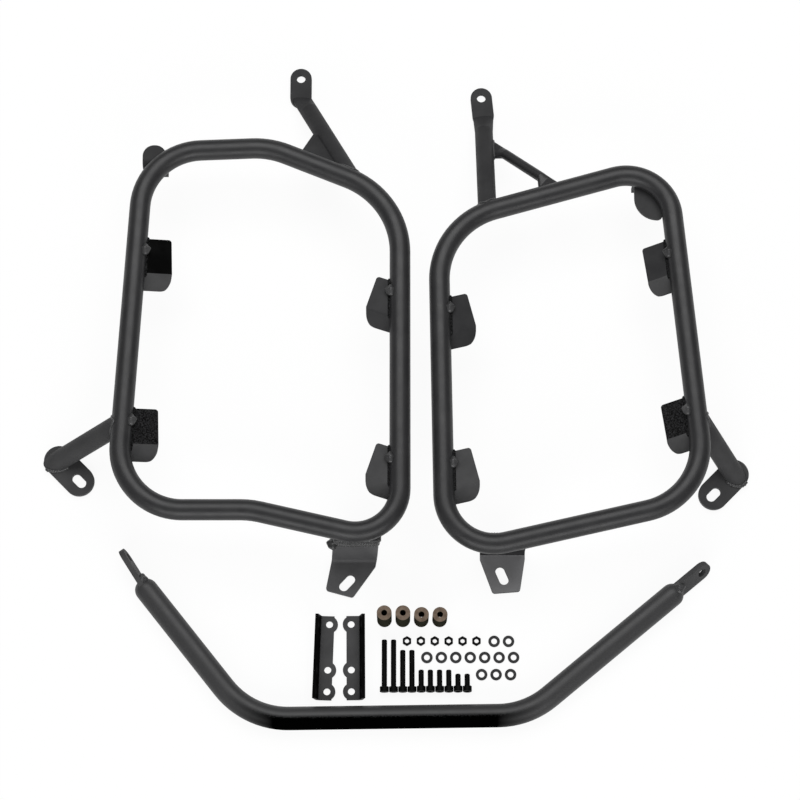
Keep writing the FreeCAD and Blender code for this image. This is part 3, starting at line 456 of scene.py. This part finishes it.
def longest_chain(edges):
    """The longest run of joined edges, as points."""
    joined = {}
    for edge in edges:
        for vert in edge.verts:
            joined.setdefault(vert, []).append(edge)
    left = set(edges)
    chains = []
    while left:
        ends = [vert for vert in joined if len([edge for edge in joined[vert] if edge in left]) == 1]
        loose = [vert for vert in joined if any(edge in left for edge in joined[vert])]
        vert = (ends or loose)[0]
        chain = [vert]
        while True:
            onward = [edge for edge in joined[vert] if edge in left]
            if not onward:
                break
            left.discard(onward[0])
            vert = onward[0].other_vert(vert)
            chain.append(vert)
        chains.append([vert.co.copy() for vert in chain])
    return max(chains, key=run_length)


def run_length(points):
    return sum((after - before).length for before, after in zip(points, points[1:]))


def even_steps(points, step):
    """The same run with its points about this far apart."""
    count = max(LEAST_STEPS, int(run_length(points) / step))
    spacing = run_length(points) / count
    result = [points[0]]
    travelled = 0.0
    target = spacing
    for before, after in zip(points, points[1:]):
        length = (after - before).length
        while length > 0 and travelled + length >= target - ROUNDING and len(result) <= count:
            result.append(before.lerp(after, (target - travelled) / length))
            target += spacing
        travelled += length
    return result


def front_run(points):
    """The run of a closed seam's points that lie at the front."""
    low = min(point.y for point in points)
    high = max(point.y for point in points)
    first = max(range(len(points)), key=lambda index: points[index].y)
    turned = points[first:] + points[:first]
    return [point for point in turned if point.y < low + FRONT_SHARE * (high - low)]


def bead_verts(points, radius, closed):
    """Rings of points along a run, rippled, and thinner at the ends where it is open."""
    count = len(points)
    verts = []
    side = None
    for index, point in enumerate(points):
        before = points[index - 1] if closed or index else points[0]
        after = points[(index + 1) % count] if closed or index + 1 < count else points[-1]
        ahead = (after - before).normalized()
        if side is None:
            side = ahead.orthogonal().normalized()
        side = (side - ahead * side.dot(ahead)).normalized()
        up = ahead.cross(side)
        ripple = 1 + RIPPLE_DEPTH * math.sin(index * BEAD_STEP / RIPPLE_LENGTH * math.tau)
        taper = 1.0 if closed else min(1.0, TAPER_START + TAPER_STEP * min(index, count - 1 - index))
        for turn in range(BEAD_SIDES):
            angle = math.tau * turn / BEAD_SIDES
            verts.append(point + (side * math.cos(angle) + up * math.sin(angle)) * radius * ripple * taper)
    return verts


def bead_faces(count, closed):
    """The faces between that many rings, and a face at each end where the run is open."""
    faces = []
    for index in range(count if closed else count - 1):
        following = (index + 1) % count
        for turn in range(BEAD_SIDES):
            beside = (turn + 1) % BEAD_SIDES
            faces.append((index * BEAD_SIDES + turn, index * BEAD_SIDES + beside,
                          following * BEAD_SIDES + beside, following * BEAD_SIDES + turn))
    if not closed:
        faces.append(tuple(reversed(range(BEAD_SIDES))))
        faces.append(tuple(range((count - 1) * BEAD_SIDES, count * BEAD_SIDES)))
    return faces


def bead_mesh(name, points, radius, closed):
    """A rippled bead swept along the points."""
    mesh = bpy.data.meshes.new(name)
    mesh.from_pydata(bead_verts(points, radius, closed), [], bead_faces(len(points), closed))
    smooth(mesh)
    return mesh


def weld(name, other, radius, materials, finish="weld_coat", front=False):
    """A weld bead where the node meets the other one, all along or only at the front."""
    mesh = joined_mesh(name)
    against = joined_mesh(other)
    edges = seam_edges(mesh, against)
    if edges:
        points = longest_chain(edges)
        closed = (points[0] - points[-1]).length < BEAD_STEP
        steps = even_steps(points, BEAD_STEP)
        if closed:
            steps.pop()
        if front:
            steps = front_run(steps)
            closed = False
        title = "weld_%s_%s" % (name, other)
        add_piece(title, bead_mesh(title, steps, radius, closed), materials[finish])
    mesh.free()
    against.free()


def blob(name, centre, radius, materials):
    """A lump of weld."""
    mesh = bmesh.new()
    bmesh.ops.create_icosphere(mesh, subdivisions=BLOB_DETAIL, radius=radius)
    for vert in mesh.verts:
        waves = zip(BLOB_WAVES, vert.co / radius, BLOB_SHIFTS)
        vert.co *= 1 + BLOB_DEPTH * sum(math.sin(wave * along + shift) for wave, along, shift in waves)
        vert.co += centre
    data = bpy.data.meshes.new(name)
    mesh.to_mesh(data)
    mesh.free()
    smooth(data)
    add_piece(name, data, materials["weld_coat"])


def tab_blob(tab, loop, materials):
    """The lump between a tab and its loop, near the tab's top."""
    low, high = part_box(tab)
    across = (low.x + high.x) / 2
    along = high.y - (high.y - low.y) * BLOB_SHARE
    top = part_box(loop)[1].z
    blob("blob_" + tab, nearest(loop, Vector((across, along, top))), BLOB_RADIUS, materials)


def end_blob(plate, materials):
    """The lump where an end plate leaves the crossbar's tube."""
    verts = frame["nodes"][plate].data.vertices
    tip = max((vert.co for vert in verts), key=lambda place: place.y)
    above = tip + Vector((0, 0, END_BLOB_RAISE))
    blob("blob_" + plate, nearest("crossbar", above), END_BLOB_RADIUS, materials)


def plate_bead(bracket, loop, materials, below, radius, lump):
    """A pass of weld across a bracket's upright, this far below the loop's centre; a lump may start it."""
    low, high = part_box(bracket)
    loop_low, loop_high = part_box(loop)
    height = (loop_low.z + loop_high.z) / 2 - below
    mesh = joined_mesh(bracket)
    surface = BVHTree.FromBMesh(mesh)
    mesh.free()
    points = []
    count = int((high.x - low.x) / BEAD_STEP)
    for index in range(count + 1):
        start = Vector((low.x + index * BEAD_STEP, low.y - RAY_START, height))
        hit = surface.ray_cast(start, Vector((0, 1, 0)))
        if hit[0] is not None:
            points.append(hit[0])
    if lump:
        blob("blob_" + bracket, points[0], END_BLOB_RADIUS, materials)
    title = "weld_%s_%d" % (bracket, round(below * MILLIMETRES))
    add_piece(title, bead_mesh(title, points, radius, False), materials["weld_coat"])


def make_welds(materials):
    """The welds of the two side frames and of the crossbar's ends."""
    for side in ("left", "right"):
        loop = side + "_loop"
        for place in TAB_PLACES:
            tab = "%s_%s_tab" % (side, place)
            # Painted shadow: the tab's weld bead is near black, standing for the dark gap between tab and
            # tube
            weld(tab, loop, TAB_WELD, materials, finish="shade_black_with_grains")
            tab_blob(tab, loop, materials)
        weld(side + "_upper_arm", loop, ARM_WELD, materials)
        weld(side + "_front_arm", loop, ARM_WELD, materials)
        weld(side + "_front_arm", side + "_front_arm_plate", FRONT_PLATE_WELD, materials, front=True)
        weld(side + "_lower_bracket", loop, BRACKET_WELD, materials)
        end_blob("crossbar_%s_plate" % side, materials)
    plate_bead("left_lower_bracket", "left_loop", materials, **UPPER_PASS)
    plate_bead("left_lower_bracket", "left_loop", materials, **LOWER_PASS)
    weld("left_arm_gusset", "left_loop", GUSSET_WELD, materials)
    weld("right_arm_strut", "right_loop", STRUT_WELD, materials)
    weld("right_arm_strut", "right_upper_arm", STRUT_WELD, materials)


def islands(mesh):
    """The faces of each separate solid of a mesh."""
    left = set(mesh.faces)
    groups = []
    for face in mesh.faces:
        if face not in left:
            continue
        left.discard(face)
        group = [face]
        for member in group:
            for edge in member.edges:
                for beside in edge.link_faces:
                    if beside in left:
                        left.discard(beside)
                        group.append(beside)
        groups.append(group)
    return groups


def shaft_of(faces):
    """The tip, the direction and the length of a screw's shaft, which points towards +Y."""
    ahead = [face for face in faces if face.normal.y > END_COSINE]
    end = max(ahead, key=lambda face: face.calc_center_median().y)
    collar = min(ahead, key=lambda face: face.calc_center_median().y)
    axis = end.normal.copy()
    reach = end.verts[0].co.dot(axis)
    rim = []
    for vert in (vert for face in ahead for vert in face.verts):
        if abs(vert.co.dot(axis) - reach) < RIDGE_RADIUS and vert not in rim:
            rim.append(vert)
    tip = sum((vert.co for vert in rim), Vector()) / len(rim)
    return tip, axis, reach - collar.verts[0].co.dot(axis)


def thread_points(tip, axis, length):
    """A winding run around a shaft, from its tip to its head."""
    across = axis.orthogonal().normalized()
    points = []
    for step in range(int((length / THREAD_PITCH - 1) * RIDGE_POINTS)):
        turns = step / RIDGE_POINTS
        out = Quaternion(axis, math.tau * turns) @ across * THREAD_RADIUS
        points.append(tip - axis * (THREAD_PITCH * (turns + 1)) + out)
    return points


def make_threads(node, materials):
    """A ridge wound along the shaft of each screw of a node."""
    mesh = joined_mesh(node)
    for number, faces in enumerate(islands(mesh), start=1):
        name = "thread_%s_%d" % (node, number)
        ridge = bead_mesh(name, thread_points(*shaft_of(faces)), RIDGE_RADIUS, False)
        add_piece(name, ridge, materials["black_screw"])
    mesh.free()


def seen_rays(tree):
    """1 for the rays that see the background itself or its mirror image, 0 for the rays that light."""
    path = tree.nodes.new("ShaderNodeLightPath")
    total = path.outputs["Is Camera Ray"]
    for kind in ("Is Glossy Ray", "Is Transmission Ray"):
        larger = tree.nodes.new("ShaderNodeMath")
        larger.operation = "MAXIMUM"
        tree.links.new(total, larger.inputs[0])
        tree.links.new(path.outputs[kind], larger.inputs[1])
        total = larger.outputs[0]
    return total


def floor_finish():
    """White where it is seen, and a pale paint that takes the shadows."""
    material = bpy.data.materials.new("floor_white")
    material.use_nodes = True
    tree = material.node_tree
    tree.nodes.clear()
    paint = tree.nodes.new("ShaderNodeBsdfDiffuse")
    paint.inputs["Color"].default_value = (FLOOR_PAINT, FLOOR_PAINT, FLOOR_PAINT, 1.0)
    glow = tree.nodes.new("ShaderNodeEmission")
    glow.inputs["Strength"].default_value = 1.0
    share = tree.nodes.new("ShaderNodeMath")
    share.operation = "MULTIPLY"
    share.inputs[1].default_value = FLOOR_GLOW
    tree.links.new(seen_rays(tree), share.inputs[0])
    mix = tree.nodes.new("ShaderNodeMixShader")
    tree.links.new(share.outputs[0], mix.inputs["Fac"])
    tree.links.new(paint.outputs[0], mix.inputs[1])
    tree.links.new(glow.outputs[0], mix.inputs[2])
    out = tree.nodes.new("ShaderNodeOutputMaterial")
    tree.links.new(mix.outputs[0], out.inputs["Surface"])
    return material


def make_floor():
    """A white floor that keeps the shadows."""
    bpy.ops.mesh.primitive_plane_add(size=FLOOR_SIZE, location=(0, 0, -FLOOR_DROP))
    floor = bpy.context.object
    floor.name = "floor"
    floor.data.materials.append(floor_finish())


def make_world():
    """A weak even fill."""
    world = bpy.data.worlds.new("studio")
    bpy.context.scene.world = world
    world.use_nodes = True
    back = world.node_tree.nodes["Background"]
    back.inputs["Color"].default_value = (1.0, 1.0, 1.0, 1.0)
    back.inputs["Strength"].default_value = FILL_LEVEL


def soft_box(name, box):
    """A wide lamp that looks at the middle of the layout."""
    light = bpy.data.lights.new(name, "AREA")
    light.shape = "RECTANGLE"
    light.size = box["width"]
    light.size_y = box["depth"]
    light.energy = box["power"]
    lamp = bpy.data.objects.new(name, light)
    bpy.context.collection.objects.link(lamp)
    turn = math.radians(box["tilt"])
    lamp.location = CAMERA_TARGET + box["distance"] * Vector((0, math.sin(turn), math.cos(turn)))
    lamp.rotation_euler = (-turn, 0, 0)


def make_camera():
    lens = bpy.data.cameras.new("camera")
    lens.sensor_width = SENSOR_WIDTH
    lens.lens = LENS
    camera = bpy.data.objects.new("camera", lens)
    bpy.context.collection.objects.link(camera)
    rise = math.radians(CAMERA_ELEVATION)
    camera.location = CAMERA_TARGET + CAMERA_DISTANCE * Vector((0, -math.cos(rise), math.sin(rise)))
    camera.rotation_euler = (math.pi / 2 - rise, 0, 0)
    bpy.context.scene.camera = camera


bpy.context.scene.view_settings.view_transform = "Standard"
finishes = make_materials()
dress_nodes(finishes)
make_welds(finishes)
for screws in SCREW_NODES:
    make_threads(screws, finishes)
make_floor()
make_world()
soft_box("back_box", BACK_BOX)
soft_box("front_box", FRONT_BOX)
make_camera()
